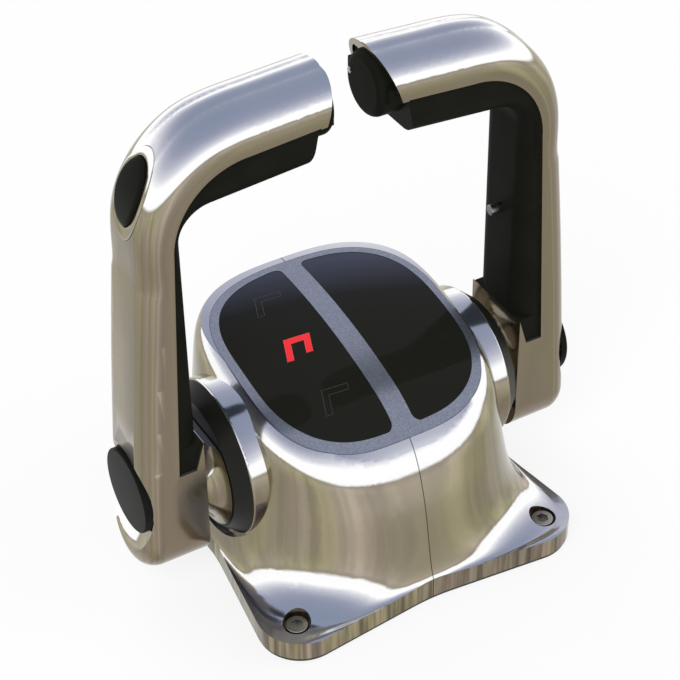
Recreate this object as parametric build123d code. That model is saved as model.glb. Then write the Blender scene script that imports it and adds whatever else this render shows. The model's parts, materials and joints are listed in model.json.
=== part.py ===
from build123d import *
import os
from math import acos, asin, atan2, cos, degrees, pi, radians, sin, sqrt, tan

"""Twin top-mount throttle and shift control for a boat with two engines.

A polished housing in two halves stands on a deck flange. A lever at each side
turns about one athwartships axis, on its own shaft. Inside are the detents, the
friction pads and the gears that turn the position sensors. Millimetres, +X to
starboard, +Y ahead, +Z up; the origin is the middle of the gasket's underside.
"""

os.makedirs("parts", exist_ok=True)

# Deck flange
WAIST_X = 70.8
WAIST_Y = 76.0
CORNER_X = 82.0
CORNER_Y = 84.0
CORNER_R = 20.0
WAIST_R = 100.0
GASKET_T = 2.0
GASKET_EDGE = 0.8

# Crowned top of the housing
TOP_Z = 104.6
TOP_R = 250.0
TOP_PEAK_Y = 42.0
KNUCKLE_Y = -34.0
KNUCKLE_R = 50.0
KNUCKLE_END = 70.0
CROWN_R = 333.0
CROWN_SWEEP = 60.0

# Housing wall: height, tilt, half width, half length and squareness of each section
WALL_SECTIONS = [
    (10.0, 0.0, 81.0, 83.0, 14.0),
    (11.2, 0.0, 75.0, 78.5, 9.0),
    (13.0, 0.0, 72.0, 76.2, 4.6),
    (17.0, 0.0, 71.0, 74.8, 3.3),
    (25.0, 0.5, 69.8, 73.2, 2.7),
    (38.0, 1.5, 68.0, 71.2, 2.5),
    (56.0, 4.0, 65.0, 68.4, 2.55),
    (70.0, 8.0, 63.0, 66.0, 2.65),
    (80.0, 11.0, 61.4, 64.0, 2.8),
    (86.0, 12.5, 60.2, 61.8, 2.9),
    (90.5, 13.0, 58.4, 59.0, 3.0),
    (94.5, 13.0, 55.4, 55.6, 3.0),
    (98.5, 13.0, 50.4, 50.6, 3.0),
    (103.0, 13.0, 42.0, 42.0, 3.0),
]
WALL_T = 4.0
TOP_T = 7.0
CAVITY_FOOT = (66.0, 69.4, 2.6)
CAVITY_TOP = (54.0, 55.4, 2.9)
SECTION_POINTS = 24

# Windows and their frames
WINDOW_A = 50.0
WINDOW_B = 50.5
WINDOW_Y = -1.0
WINDOW_N = 3.05
WINDOW_BAR = 10.0
WINDOW_CORNER = 3.5
WINDOW_T = 2.2
BEZEL_W = 3.7
BEZEL_T = 3.4
BEZEL_SILL = 1.6
WINDOW_PLAY = 0.1
WINDOW_DIP = 0.2
EYE_MARGIN = 4.0
EYE_BAR_MARGIN = 3.0
DISPLAY_T = 5.0
DISPLAY_PLAY = 0.3

# Lever pivot, boss and ring
PIVOT_Z = 56.5
BOSS_R = 36.5
BOSS_X = 66.0
BOSS_EDGE = 1.2
BOSS_WALL_CLEAR = 0.5
RING_UNDER = 0.7
RING_TAPER = 5.6
RING_R = BOSS_R - RING_UNDER
RING_TIP_R = RING_R - RING_TAPER
RING_T = 6.4
SHAFT_R = 8.0
RUN = 0.05
SEAT = 0.02

# Lever arm and grip
LEVER_Y = -1.0
ARM_HALF = 19.5
ARM_EDGE_R = 10.0
FOOT_Z = 35.0
OUTER_FOOT_X = 112.4
OUTER_TOP_X = 99.4
OUTER_BOW = 1.2
FOOT_OVER = 6.0
INNER_X = 80.2
LIP_FOOT_X = 92.4
BEND_X = 50.5
BEND_Z = 183.4
BEND_LIP_R = 36.0
GRIP_END_X = 12.0
GRIP_END_LIP_X = 17.8
PLUG_END_X = 13.0
GRIP_LIP_Z = BEND_Z + BEND_LIP_R
GRIP_RISE = 2.2
GRIP_DEPTH = 17.6
GRIP_EDGE_R = 15.5
SHELL_T = 2.4
ARM_TOP_Z = 166.0
POCKET_HALF = 13.0
POCKET_WALL = 3.0
BEND_STEPS = 5
GRIP_STEPS = 4
BEND_DEPTH = 12.9
GRIP_BULGE = 0.9
LIP_DIP = 2.0
NECK_X = 72.8
NECK_ROOT_R = 19.0
NECK_END_X = 88.0
NECK_CUT_Z = 77.0
NECK_R = 29.0
INSERT_FOOT_Z = 72.5
INSERT_FOOT_IN = 4.0
LIP_END_IN = 4.0
TONGUE_LIFT = 7.0
POCKET_LIFT = 6.0
KEEL_Z = 197.5
KEEL_END_Z = 201.8
KEEL_END_X = 24.0
KEEL_R = 10.0
KEEL_CORNER_R = 14.0
BOWL_Z = 222.0
BOWL_R = 14.2
BOWL_EDGE_R = 3.5
BOWL_END_X = 9.8
BOWL_ROOT_X = 32.0
PLUG_BACK_X = 21.0
PLUG_SLANT = 9.0
PLUG_SET = 1.0
NECK_TOP_Z = 86.0
INSERT_HALF = 18.2
INSERT_TONGUE = 5.0
CAP_R = 19.6
CAP_T = 3.4
CAP_X = 109.2
DISH_R = 25.5
DISH_DEPTH = 3.2
CAP_EDGE = 0.8
NECK_PLAY = 0.3
FIT = 0.15
RING_CLEAR = 0.4
BOSS_DEPTH = 13.0

# Deck screws
SCREW_X = 64.1
SCREW_Y = 67.7
SCREW_R = 3.0
SCREW_HEAD_R = 5.0
SCREW_HEAD_H = 6.0
SCREW_SEAT = 3.0
SCREW_HOLE_R = 3.2
SCREW_WELL_R = 6.2
SCREW_BELOW = 15.0
SCREW_NECK_R = 2.7
HEX_AF = 5.0
HEX_DEPTH = 0.55
HEAD_EDGE = 0.4
WAIST_OVER = 1.0

# Harness connector in the base
PORT_Y = -40.0
PORT_R = 9.0
PORT_BELOW = 14.0
PORT_LENGTH = 30.0
PORT_FLANGE = 3.0
PORT_FLANGE_T = 4.0
PORT_WALL = 2.0
PORT_SOCKET = 11.0
PORT_CLEAR = 0.5

# Shaft, bushes and what rides on the shaft
BUSH_WALL = 2.5
BUSH_OUTER_R = SHAFT_R + RUN + BUSH_WALL
BUSH_FLANGE_R = 13.5
BUSH_FLANGE_T = 2.0
SEAL_R = 14.0
SEAL_T = 4.5
SHAFT_IN_X = 13.5
SHAFT_OUT_X = 96.0
HUB_WEB = 4.0
HUB_BOLT_R = 4.0
HUB_HEAD_R = 6.5
HUB_HEAD_H = 5.5
HUB_BOLT_IN = 18.0
HUB_BOLT_SHORT = 1.0
HUB_HEX_AF = 6.0
FRAME_X = 15.0
FRAME_T = 4.0
FRAME_AFT = -18.0
FRAME_FWD = 44.0
FRAME_TOP = 74.0
FRAME_FOOT_T = 4.0
BASE_T = 4.0
PLATE_GAP = 1.2
DISC_X = 22.0
DISC_T = 3.5
DISC_R = 23.2
NOTCH_R = 4.4
NOTCH_DEPTH = 1.8
DETENT_STEP = 18.0
ROLLER_R = 4.0
ROLLER_GAP = 0.3
LEAF_T = 0.8
LUG_Y = 23.0
LUG_LENGTH = 10.0
LUG_T = 5.0
LUG_OVER = 0.5
MAST_SUNK = 2.0
LEAF_OVER = 1.0
PAD_GAP = 0.3
PAD_T = 4.0
PAD_WIDTH = 26.0
PAD_DROP = 18.0
SADDLE_T = 7.0
GEAR_X = 26.6
GEAR_T = 5.0
MODULE = 1.25
DRIVE_TEETH = 40
SENSOR_TEETH = 16
BACKLASH = 0.22
PRESSURE_ANGLE = 20.0
ROOT_DEPTH = 1.25
TIP_HEIGHT = 0.9
SPINDLE_R = 2.5
SPINDLE_OVER = 2.0
SPINDLE_HEAD = 2.0
SPINDLE_HEAD_T = 1.2
SENSOR_GAP = 0.3
SENSOR_WIDTH = 16.0
SENSOR_HEIGHT = 17.0
CLIP_T = 1.2
CLIP_R = 11.0
CLIP_GAP = 0.2
CLIP_SLOT = 8.0
CLIP_SLOT_DEPTH = 6.0

# Trim switch on the port lever
TRIM_ANGLE = 28.0
TRIM_LONG = 19.5
TRIM_WIDE = 11.0
TRIM_PROUD = 0.9
TRIM_T = 2.2
TRIM_GAP = 1.1
TRIM_CLEAR = 0.5
TRIM_BASE_T = 3.7
TRIM_BASE_IN = 1.5

# How far a cutting tool reaches past what it cuts
REACH = 30.0
FAR = 200.0
TOOL_FOOT = 60.0
TOOL_HEAD = 130.0


def superellipse(a, b, n, y_mid=0.0, z=0.0, tilt=0.0):
    """A closed squared-off ellipse as one smooth edge, its seam dead ahead."""
    ring = []
    for i in range(SECTION_POINTS):
        t = pi / 2 + 2 * pi * i / SECTION_POINTS
        reach = (abs(cos(t) / a) ** n + abs(sin(t) / b) ** n) ** (-1 / n)
        along = reach * sin(t)
        ring.append(Vector(reach * cos(t), y_mid + along * cos(radians(tilt)),
                           z + along * sin(radians(tilt))))
    return Wire([Edge.make_spline(ring, periodic=True)])


def wall_loft():
    """The flaring wall as a stack of squared ellipses."""
    return Solid.make_loft([superellipse(a, b, n, 0, z, tilt)
                            for z, tilt, a, b, n in WALL_SECTIONS])


def cavity_half():
    """The hollow inside the starboard half, square to the base."""
    foot = superellipse(*CAVITY_FOOT, z=-1)
    head = superellipse(*CAVITY_TOP, z=TOP_Z)
    hollow = Solid.make_loft([foot, head]) & dome(TOP_T) & half_space(1)
    return (hollow - x_cylinder(BOSS_R + BOSS_WALL_CLEAR, BOSS_X - BOSS_DEPTH, BOSS_X + REACH)).solids()[0]


def dome(inset=0.0):
    """Everything under the crowned top, drawn in by inset."""
    drop = TOP_Z - TOP_R
    lean = asin((TOP_PEAK_Y - KNUCKLE_Y) / TOP_R)
    r1 = TOP_R - inset
    r2 = KNUCKLE_R - inset
    k_y = KNUCKLE_Y + KNUCKLE_R * sin(lean)
    k_z = drop + TOP_R * cos(lean) - KNUCKLE_R * cos(lean)

    def on_top(y):
        return (y, drop + sqrt(r1 ** 2 - (y - TOP_PEAK_Y) ** 2))

    start = on_top(110.0)
    middle = on_top(TOP_PEAK_Y - 20)
    knee = (TOP_PEAK_Y - r1 * sin(lean), drop + r1 * cos(lean))
    turn = (lean + radians(KNUCKLE_END)) / 2
    mid2 = (k_y - r2 * sin(turn), k_z + r2 * cos(turn))
    end_a = radians(KNUCKLE_END)
    end = (k_y - r2 * sin(end_a), k_z + r2 * cos(end_a))
    low_z = -30.0
    low = (end[0] - (end[1] - low_z) / tan(end_a), low_z)
    axis_z = TOP_Z - CROWN_R
    pts = [Vector(0, *p) for p in (start, middle, knee, mid2, end, low)]
    edges = [
        Edge.make_three_point_arc(pts[0], pts[1], pts[2]),
        Edge.make_three_point_arc(pts[2], pts[3], pts[4]),
        Edge.make_line(pts[4], pts[5]),
        Edge.make_line(pts[5], Vector(0, low[0], axis_z)),
        Edge.make_line(Vector(0, low[0], axis_z), Vector(0, start[0], axis_z)),
        Edge.make_line(Vector(0, start[0], axis_z), pts[0]),
    ]
    axis = Axis((0, 0, axis_z), (0, 1, 0))
    face = Face(Wire(edges)).rotate(axis, -CROWN_SWEEP / 2)
    return Solid.revolve(face, CROWN_SWEEP, axis)


def flange_outline(inset=0.0):
    """The deck flange: four hollow sides and four round corners."""
    corners = [
        (0, -WAIST_Y), (CORNER_X, -CORNER_Y), (WAIST_X, 0), (CORNER_X, CORNER_Y),
        (0, WAIST_Y), (-CORNER_X, CORNER_Y), (-WAIST_X, 0), (-CORNER_X, -CORNER_Y),
    ]
    plate = make_face(Polyline(*corners, close=True))
    tips = [v for v in plate.vertices() if min(abs(v.X), abs(v.Y)) > 1]
    plate = fillet(tips, CORNER_R)
    waists = [v for v in plate.vertices() if abs(v.X) < 1 or abs(v.Y) < 1]
    plate = fillet(waists, WAIST_R)
    return offset(plate, -inset) if inset else plate


def x_cylinder(r, x0, x1, y=0.0, z=PIVOT_Z):
    return Solid.make_cylinder(r, x1 - x0, Plane((x0, y, z), z_dir=(1, 0, 0)))


def half_space(side, reach=300.0):
    """Everything on one side of the fore-and-aft seam."""
    return Pos(side * reach / 2, 0, 0) * Box(reach, 2 * reach, 2 * reach)


def trumpet(tip_r, root_r, x0, x1, bow=0.45):
    """A neck about the pivot axis that narrows in a hollow curve from x0 to x1."""
    mid = Vector(x0 + (x1 - x0) * (0.5 - bow / 2), 0, root_r + (tip_r - root_r) * (0.5 - bow / 2))
    edges = [
        Edge.make_three_point_arc(Vector(x0, 0, tip_r), mid, Vector(x1, 0, root_r)),
        Edge.make_line(Vector(x1, 0, root_r), Vector(x1, 0, 0)),
        Edge.make_line(Vector(x1, 0, 0), Vector(x0, 0, 0)),
        Edge.make_line(Vector(x0, 0, 0), Vector(x0, 0, tip_r)),
    ]
    solid = Solid.revolve(Face(Wire(edges)), 360, Axis((0, 0, 0), (1, 0, 0)))
    return Pos(0, 0, PIVOT_Z) * solid


def cone_ring(x0, r0, x1, r1, bore):
    """A tapered ring about the pivot axis."""
    ring = [(x0, bore), (x0, r0), (x1, r1), (x1, bore)]
    pts = [Vector(x, 0, r) for x, r in ring]
    face = Face(Wire.make_polygon(pts, close=True))
    return Pos(0, 0, PIVOT_Z) * Solid.revolve(face, 360, Axis((0, 0, 0), (1, 0, 0)))


def prism_disc(a, b, n, y_mid, z0, z1):
    """A squared ellipse standing from z0 to z1."""
    return extrude(Face(superellipse(a, b, n, y_mid, z0)), z1 - z0)


def window_plan(grow=0.0):
    """Starboard window's D seen from above, bigger all round by grow."""
    ring = prism_disc(WINDOW_A + grow, WINDOW_B + grow, WINDOW_N, WINDOW_Y, TOOL_FOOT, TOOL_HEAD)
    bar = WINDOW_BAR / 2 - grow
    plan = (ring & Pos(bar + FAR / 2, 0, 0) * Box(FAR, 2 * FAR, 2 * FAR)).solids()[0]
    corners = [e for e in plan.edges() if e.bounding_box().size.Z > 50
               and e.center().X < bar + 0.1]
    return plan.fillet(max(WINDOW_CORNER + grow, 0.5), corners)


def housing_half():
    """Starboard half of the housing: flange, wall, boss and window seat in one shell."""
    prism = extrude(Pos(0, 0, GASKET_T) * flange_outline(), 140) & half_space(1)
    upper = (wall_loft() & dome() & half_space(1) & prism).solids()[0]
    plate_h = WALL_SECTIONS[0][0] - GASKET_T
    plate = extrude(Pos(0, 0, GASKET_T) * flange_outline(), plate_h) & half_space(1)
    boss = x_cylinder(BOSS_R, BOSS_X - BOSS_DEPTH, BOSS_X)
    boss = boss.fillet(BOSS_EDGE, [boss.edges().sort_by(Axis.X)[-1]])
    form = (upper + plate).solids()[0] - cavity_half()
    form = (form.solids()[0] + boss).solids()[0]
    form = form - x_cylinder(BOSS_R + RING_CLEAR, BOSS_X, BOSS_X + REACH)
    form = form - x_cylinder(BUSH_OUTER_R, BOSS_X - BOSS_DEPTH - 1, BOSS_X + 1)
    grow = BEZEL_W + FIT
    well = prism_disc(WINDOW_A + grow, WINDOW_B + grow, WINDOW_N, WINDOW_Y, TOOL_FOOT, TOOL_HEAD)
    well = (well & half_space(1)) - dome(BEZEL_T)
    form = form - well - board_eye()
    for side in (-1, 1):
        at = Pos(SCREW_X, side * SCREW_Y, 0)
        form = form - at * Pos(0, 0, GASKET_T + SCREW_SEAT + REACH) * Cylinder(SCREW_WELL_R, 2 * REACH)
        form = form - at * Cylinder(SCREW_HOLE_R, 2 * REACH)
    return max(form.solids(), key=lambda q: q.volume)


def board_eye():
    """The opening under the starboard window that the display board looks through."""
    shrink = BEZEL_SILL + EYE_MARGIN
    eye = prism_disc(WINDOW_A - shrink, WINDOW_B - shrink, WINDOW_N, WINDOW_Y, TOOL_FOOT, TOOL_HEAD)
    near = WINDOW_BAR / 2 + EYE_BAR_MARGIN
    return eye & Pos(near + FAR / 2, 0, 0) * Box(FAR, 2 * FAR, 2 * FAR)


def section_u(lip_x, lip_z, lean, depth, half, edge_r, bulge=0.0, dip=0.0):
    """The lever's hollow section: flat across the lips, round over the crown."""
    n = Vector(cos(lean), 0, sin(lean))
    across = Vector(0, 1, 0)
    base = Vector(lip_x, LEVER_Y, lip_z)

    def at(u, v):
        return base + across * u + n * v

    k = edge_r * (1 - sqrt(0.5))
    left = [at(-half, -dip), at(-half, depth - edge_r), at(-half + k, depth - k),
            at(-half + edge_r, depth)]
    right = [at(half - edge_r, depth), at(half - k, depth - k),
             at(half, depth - edge_r), at(half, -dip)]
    crown = (Edge.make_three_point_arc(left[3], at(0, depth + bulge), right[0])
             if bulge else Edge.make_line(left[3], right[0]))
    return Wire([
        Edge.make_line(left[0], left[1]),
        Edge.make_three_point_arc(left[1], left[2], left[3]),
        crown,
        Edge.make_three_point_arc(right[0], right[1], right[2]),
        Edge.make_line(right[2], right[3]),
        Edge.make_line(right[3], left[0]),
    ])


def outer_face():
    """The arm's outer line in the X-Z plane, foot to top, slightly bowed."""
    foot = Vector(OUTER_FOOT_X, 0, FOOT_Z - ARM_HALF - FOOT_OVER)
    slope = (OUTER_TOP_X - OUTER_FOOT_X) / (BEND_Z - foot.Z)
    top = Vector(OUTER_FOOT_X + slope * (ARM_TOP_Z - foot.Z), 0, ARM_TOP_Z)
    return Edge.make_three_point_arc(foot, (foot + top) * 0.5 + Vector(OUTER_BOW, 0, 0), top)


def lip_x(z):
    """The arm's parting line between shell and insert."""
    top_x = BEND_X + BEND_LIP_R
    return top_x + (LIP_FOOT_X - top_x) * (BEND_Z - z) / (BEND_Z - INSERT_FOOT_Z)


def arm_solid(inset=0.0):
    """The arm with its round foot, before the insert's place is cut."""
    face_arc = outer_face()
    foot, top = face_arc @ 0, face_arc @ 1
    lean = atan2(-(face_arc % 1).X, (face_arc % 1).Z)
    n = Vector(cos(lean), 0, sin(lean))
    inner_top = top - n * ((top.X - INNER_X) / cos(lean))
    outline = Face(Wire([
        face_arc,
        Edge.make_line(top, inner_top),
        Edge.make_line(inner_top, Vector(INNER_X, 0, foot.Z)),
        Edge.make_line(Vector(INNER_X, 0, foot.Z), foot),
    ]))
    slab = Pos(0, 60, 0) * extrude(outline, 120, dir=(0, -1, 0))
    side = Pos(0, FOOT_Z + 80) * Rectangle(2 * ARM_HALF, 160) + Pos(0, FOOT_Z) * Circle(ARM_HALF)
    stadium = Pos(60, LEVER_Y, 0) * extrude(Plane.YZ * side, 80)
    arm = (stadium & slab).solids()[0]
    outer = [e for e in arm.edges() if e.bounding_box().min.X > 93
             and e.bounding_box().size.Z > 10 and e.center().X > 95]
    return arm.fillet(ARM_EDGE_R, outer)


def lever_stations(inset=0.0, dip=0.0):
    """Sections from the top of the arm, round the bend and along the grip."""
    face_arc = outer_face()
    top = face_arc @ 1
    lean = atan2(-(face_arc % 1).X, (face_arc % 1).Z)
    n = Vector(cos(lean), 0, sin(lean))
    d0 = (top.X - lip_x(ARM_TOP_Z)) / cos(lean)
    base = top - n * d0
    half = ARM_HALF - inset
    wires = [section_u(base.X, base.Z, lean, d0 - inset, half, ARM_EDGE_R - inset, 0, dip)]
    for i in range(BEND_STEPS + 1):
        f = i / BEND_STEPS
        th = radians(90 * f)
        ease = f * f * (3 - 2 * f)
        depth = BEND_DEPTH + (GRIP_DEPTH - BEND_DEPTH) * ease - inset
        r = ARM_EDGE_R + (GRIP_EDGE_R - ARM_EDGE_R) * ease - inset
        wires.append(section_u(BEND_X + BEND_LIP_R * cos(th), BEND_Z + BEND_LIP_R * sin(th),
                               th, depth, half, r, GRIP_BULGE * ease, dip))
    end_x = PLUG_END_X if inset > 0 else GRIP_END_X - 0.5
    for i in range(1, GRIP_STEPS + 1):
        f = i / GRIP_STEPS
        wires.append(section_u(BEND_X + (end_x - BEND_X) * f, BEND_Z + BEND_LIP_R + GRIP_RISE * f,
                               pi / 2, GRIP_DEPTH - inset, half, GRIP_EDGE_R - inset,
                               GRIP_BULGE, dip))
    return wires


def lip_edges(step=0.0, end_x=GRIP_END_X):
    """The parting line in the X-Z plane, arm foot to grip end, pushed outward by step."""
    r = BEND_LIP_R + step
    bend = (BEND_X, BEND_Z)
    k = sqrt(0.5) * r
    start = Vector(LIP_FOOT_X + step, 0, INSERT_FOOT_Z)
    a = Vector(bend[0] + r, 0, bend[1])
    m = Vector(bend[0] + k, 0, bend[1] + k)
    b = Vector(bend[0], 0, bend[1] + r)
    end = Vector(end_x, 0, bend[1] + r + GRIP_RISE)
    return [Edge.make_line(start, a), Edge.make_three_point_arc(a, m, b), Edge.make_line(b, end)]


def keel_corner():
    """Dip of the keel, its outward direction and the centre of the corner to the arm."""
    dip = atan2(KEEL_END_Z - KEEL_Z, INNER_X - KEEL_END_X)
    out = Vector(sin(dip), 0, cos(dip))
    mid_x = INNER_X - KEEL_CORNER_R
    along = Vector(KEEL_END_X, 0, KEEL_END_Z).dot(out) - KEEL_CORNER_R - mid_x * sin(dip)
    return dip, out, Vector(mid_x, 0, along / cos(dip))


def insert_plan(step=0.0, end_x=KEEL_END_X - LIP_END_IN):
    """The insert's side outline between the parting line and its inner face."""
    lip = lip_edges(step, end_x)
    start, end = lip[0] @ 0, lip[-1] @ 1
    dip, out, mid = keel_corner()
    half_way = Vector(sin((pi / 2 + dip) / 2), 0, cos((pi / 2 + dip) / 2))
    leave, join = mid + out * KEEL_CORNER_R, mid + Vector(KEEL_CORNER_R, 0, 0)
    keel_end = Vector(KEEL_END_X, 0, KEEL_END_Z)
    neck = Vector(INNER_X, 0, NECK_TOP_Z)
    foot = Vector(INNER_X + INSERT_FOOT_IN, 0, INSERT_FOOT_Z)
    return Face(Wire(lip + [
        Edge.make_line(end, keel_end), Edge.make_line(keel_end, leave),
        Edge.make_three_point_arc(leave, mid + half_way * KEEL_CORNER_R, join),
        Edge.make_line(join, neck), Edge.make_line(neck, foot), Edge.make_line(foot, start)]))


def rounded_bars():
    """Bars with rounded inner edges that the keel, its corner and the arm are cut from."""
    deep = 2 * REACH
    dip, out, mid = keel_corner()
    mid = mid + Vector(0, LEVER_Y, 0)
    side = Rectangle(2 * INSERT_HALF, deep)
    side = Pos(0, deep / 2) * fillet(side.vertices().sort_by(Axis.Y)[:2], KEEL_R)
    inboard = Vector(-cos(dip), 0, sin(dip))
    face = Plane(origin=mid + out * KEEL_CORNER_R, x_dir=(0, -1, 0), z_dir=inboard) * side
    keel = extrude(face, INNER_X, dir=inboard)
    corner = revolve(face, axis=Axis(mid, (0, 1, 0)), revolution_arc=90 - degrees(dip))
    side_face = Plane(origin=mid + Vector(KEEL_CORNER_R, 0, 0), x_dir=(0, -1, 0), z_dir=(0, 0, 1)) * side
    arm = extrude(side_face, mid.Z - NECK_TOP_Z, dir=(0, 0, -1))
    foot = Pos(INNER_X + deep / 2, LEVER_Y, NECK_TOP_Z - REACH) * Box(
        deep, 2 * INSERT_HALF, 2 * REACH)
    return keel + corner + arm + foot


def slab_from(face, half):
    """An X-Z outline made as thick as the lever's insert."""
    return Pos(0, LEVER_Y + half, 0) * extrude(face, 2 * half, dir=(0, -1, 0))


def end_cut():
    """What the shell's leaning end leaves off, crown furthest inboard."""
    lean = (GRIP_END_LIP_X - GRIP_END_X) / GRIP_DEPTH
    below, above = REACH, 2 * REACH
    foot, head = GRIP_LIP_Z - below, GRIP_LIP_Z + above
    pts = [(GRIP_END_LIP_X + below * lean, foot), (GRIP_END_LIP_X - above * lean, head),
           (-2 * REACH, head), (-2 * REACH, foot)]
    return slab_from(Face(Wire.make_polygon([Vector(x, 0, z) for x, z in pts], close=True)), 2 * REACH)


def lever_shell(hub):
    """Polished outer shell of the starboard lever, open on its inner side."""
    outer = (arm_solid() + Solid.make_loft(lever_stations())).solids()[0]
    neck = trumpet(NECK_R, NECK_ROOT_R, NECK_X, NECK_END_X)
    hollow = Solid.make_loft(lever_stations(SHELL_T, LIP_DIP))
    arm_hollow = slab_from(arm_pocket(), POCKET_HALF)
    shell = (outer + neck).solids()[0] - slab_from(insert_plan(), 2 * REACH) - neck_cap() - hollow
    shell = shell.solids()[0] - arm_hollow
    cone = cone_ring(CAP_X - DISH_DEPTH - 0.5, CAP_R + FIT, CAP_X + 2.5, DISH_R + 2.5, 0.01)
    shell = shell.solids()[0] - cone
    for tool in hub + [end_cut()]:
        shell = shell - tool
    return max(shell.solids(), key=lambda q: q.volume)


def arm_pocket():
    """The arm's hollow behind the insert, in the X-Z plane."""
    z0, z1 = INSERT_FOOT_Z + POCKET_LIFT, ARM_TOP_Z + 1
    face_arc = outer_face()

    def outer_x(z):
        f = (z - (face_arc @ 0).Z) / ((face_arc @ 1).Z - (face_arc @ 0).Z)
        return (face_arc @ f).X - POCKET_WALL

    pts = [(lip_x(z0) - LIP_DIP, z0), (outer_x(z0), z0), (outer_x(z1), z1),
           (lip_x(z1) - LIP_DIP, z1)]
    return Face(Wire.make_polygon([Vector(x, 0, z) for x, z in pts], close=True))


def neck_cap(shrink=0.0):
    """Upper part of the neck, which belongs to the insert."""
    neck = trumpet(NECK_R - shrink, NECK_ROOT_R - shrink, NECK_X + shrink, NECK_END_X)
    return neck & Pos(0, 0, NECK_CUT_Z + shrink + 50) * Box(400, 400, 100)


def grip_insert():
    """Black moulded insert: inner face of the arm, keel and end plug of the grip."""
    body = slab_from(insert_plan(), INSERT_HALF) & rounded_bars()
    tongue = Solid.make_loft(lever_stations(SHELL_T + FIT, LIP_DIP))
    band = slab_from(tongue_plan(), POCKET_HALF - FIT)
    plug = slab_from(plug_plan(), 2 * REACH) & tongue
    disc = x_cylinder(BOWL_R, BOWL_END_X, PLUG_BACK_X, LEVER_Y, BOWL_Z)
    disc = disc.fillet(BOWL_EDGE_R, [disc.edges().sort_by(Axis.X)[0]])
    root = x_cylinder(BOWL_R, PLUG_BACK_X - 1, BOWL_ROOT_X, LEVER_Y, BOWL_Z)
    plug = plug + disc + (root & Pos(0, 0, GRIP_LIP_Z - 50) * Box(400, 400, 100))
    body = (body + band + (tongue & slab_from(tongue_plan(), 2 * REACH)) + plug).solids()
    body = max(body, key=lambda q: q.volume)
    return body


def plug_plan():
    """Side outline of the plug that closes the grip's end behind the shell's lip."""
    lean = (GRIP_END_LIP_X - GRIP_END_X) / GRIP_DEPTH
    below, above = 20.0, REACH
    foot, head = GRIP_LIP_Z - below, GRIP_LIP_Z + above
    inner = GRIP_END_LIP_X + PLUG_SET
    pts = [(inner + below * lean, foot), (inner - above * lean, head),
           (PLUG_BACK_X, head), (PLUG_BACK_X + PLUG_SLANT, foot)]
    return Face(Wire.make_polygon([Vector(x, 0, z) for x, z in pts], close=True))


def tongue_plan():
    """The strip just inside the parting line that keys the insert into the shell."""
    inner, outer = lip_edges(-LIP_DIP), lip_edges(INSERT_TONGUE)
    a, b = inner[0] @ 0, outer[0] @ 0
    lift = Vector(0, 0, TONGUE_LIFT)
    inner[0] = Edge.make_line(a + lift, inner[0] @ 1)
    outer[0] = Edge.make_line(b + lift, outer[0] @ 1)
    ends = [Edge.make_line(a + lift, b + lift), Edge.make_line(inner[-1] @ 1, outer[-1] @ 1)]
    return Face(Wire(inner + outer + ends))


def gear(teeth, x0, width, bore, y=0.0, turn=0.0):
    """Spur gear about an axis along X, first tooth towards turn degrees from +Y."""
    pitch = MODULE * teeth / 2
    base = pitch * cos(radians(PRESSURE_ANGLE))
    root, tip = pitch - ROOT_DEPTH * MODULE, pitch + TIP_HEIGHT * MODULE
    half = (pi * MODULE / 2 - BACKLASH) / (2 * pitch)

    def inv(r):
        a = acos(min(1.0, base / r))
        return tan(a) - a

    flank = [max(root, 0.01)] + [max(base, root) + (tip - max(base, root)) * f
                                 for f in (0.0, 0.35, 0.7, 1.0)]
    pts = []
    for i in range(teeth):
        mid = radians(turn) + 2 * pi * i / teeth
        side = [(r, half + inv(pitch) - inv(max(r, base))) for r in flank]
        pts += [(r, mid - w) for r, w in side] + [(r, mid + w) for r, w in reversed(side)]
    outline = [Vector(x0, y + r * cos(t), PIVOT_Z + r * sin(t)) for r, t in pts]
    face = Face(Wire.make_polygon(outline, close=True))
    blank = extrude(face, width, dir=(1, 0, 0)).solids()[0]
    return blank - x_cylinder(bore, x0 - 1, x0 + width + 1, y)


def socket_screw(r, length, head_r, head_h, hex_af):
    """Socket-head screw standing on its head's underside at the origin, shank down."""
    head = Cylinder(head_r, head_h, align=(Align.CENTER, Align.CENTER, Align.MIN))
    head = head.fillet(HEAD_EDGE, head.edges().filter_by(GeomType.CIRCLE).sort_by(Axis.Z)[-1:])
    hexagon = RegularPolygon(hex_af / 2, 6, major_radius=False)
    socket = Pos(0, 0, head_h * (1 - HEX_DEPTH)) * extrude(hexagon, head_h)
    shank = Cylinder(r, length, align=(Align.CENTER, Align.CENTER, Align.MAX))
    return (head + shank - socket).solids()[0]


def lay_along_x(shape, x, y, z, outward=1):
    """Turn a piece that stands along +Z so that it lies along +X or -X."""
    return Pos(x, y, z) * Rot(0, 90 * outward, 0) * shape


parts = {}


def both(name, shape):
    """Keep the starboard piece and its port twin."""
    parts[name + "_starboard"] = shape
    parts[name + "_port"] = shape.mirror(Plane.YZ)


def trim_prism(grow):
    """Oval plug through the lever's bend, square to the surface there."""
    lean = radians(TRIM_ANGLE)
    at = Vector(BEND_X, LEVER_Y, BEND_Z)
    plane = Plane(origin=at, x_dir=Vector(0, 1, 0), z_dir=Vector(cos(lean), 0, sin(lean)))
    return extrude(plane * Ellipse(TRIM_WIDE + grow, TRIM_LONG + grow), FAR)


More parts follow.
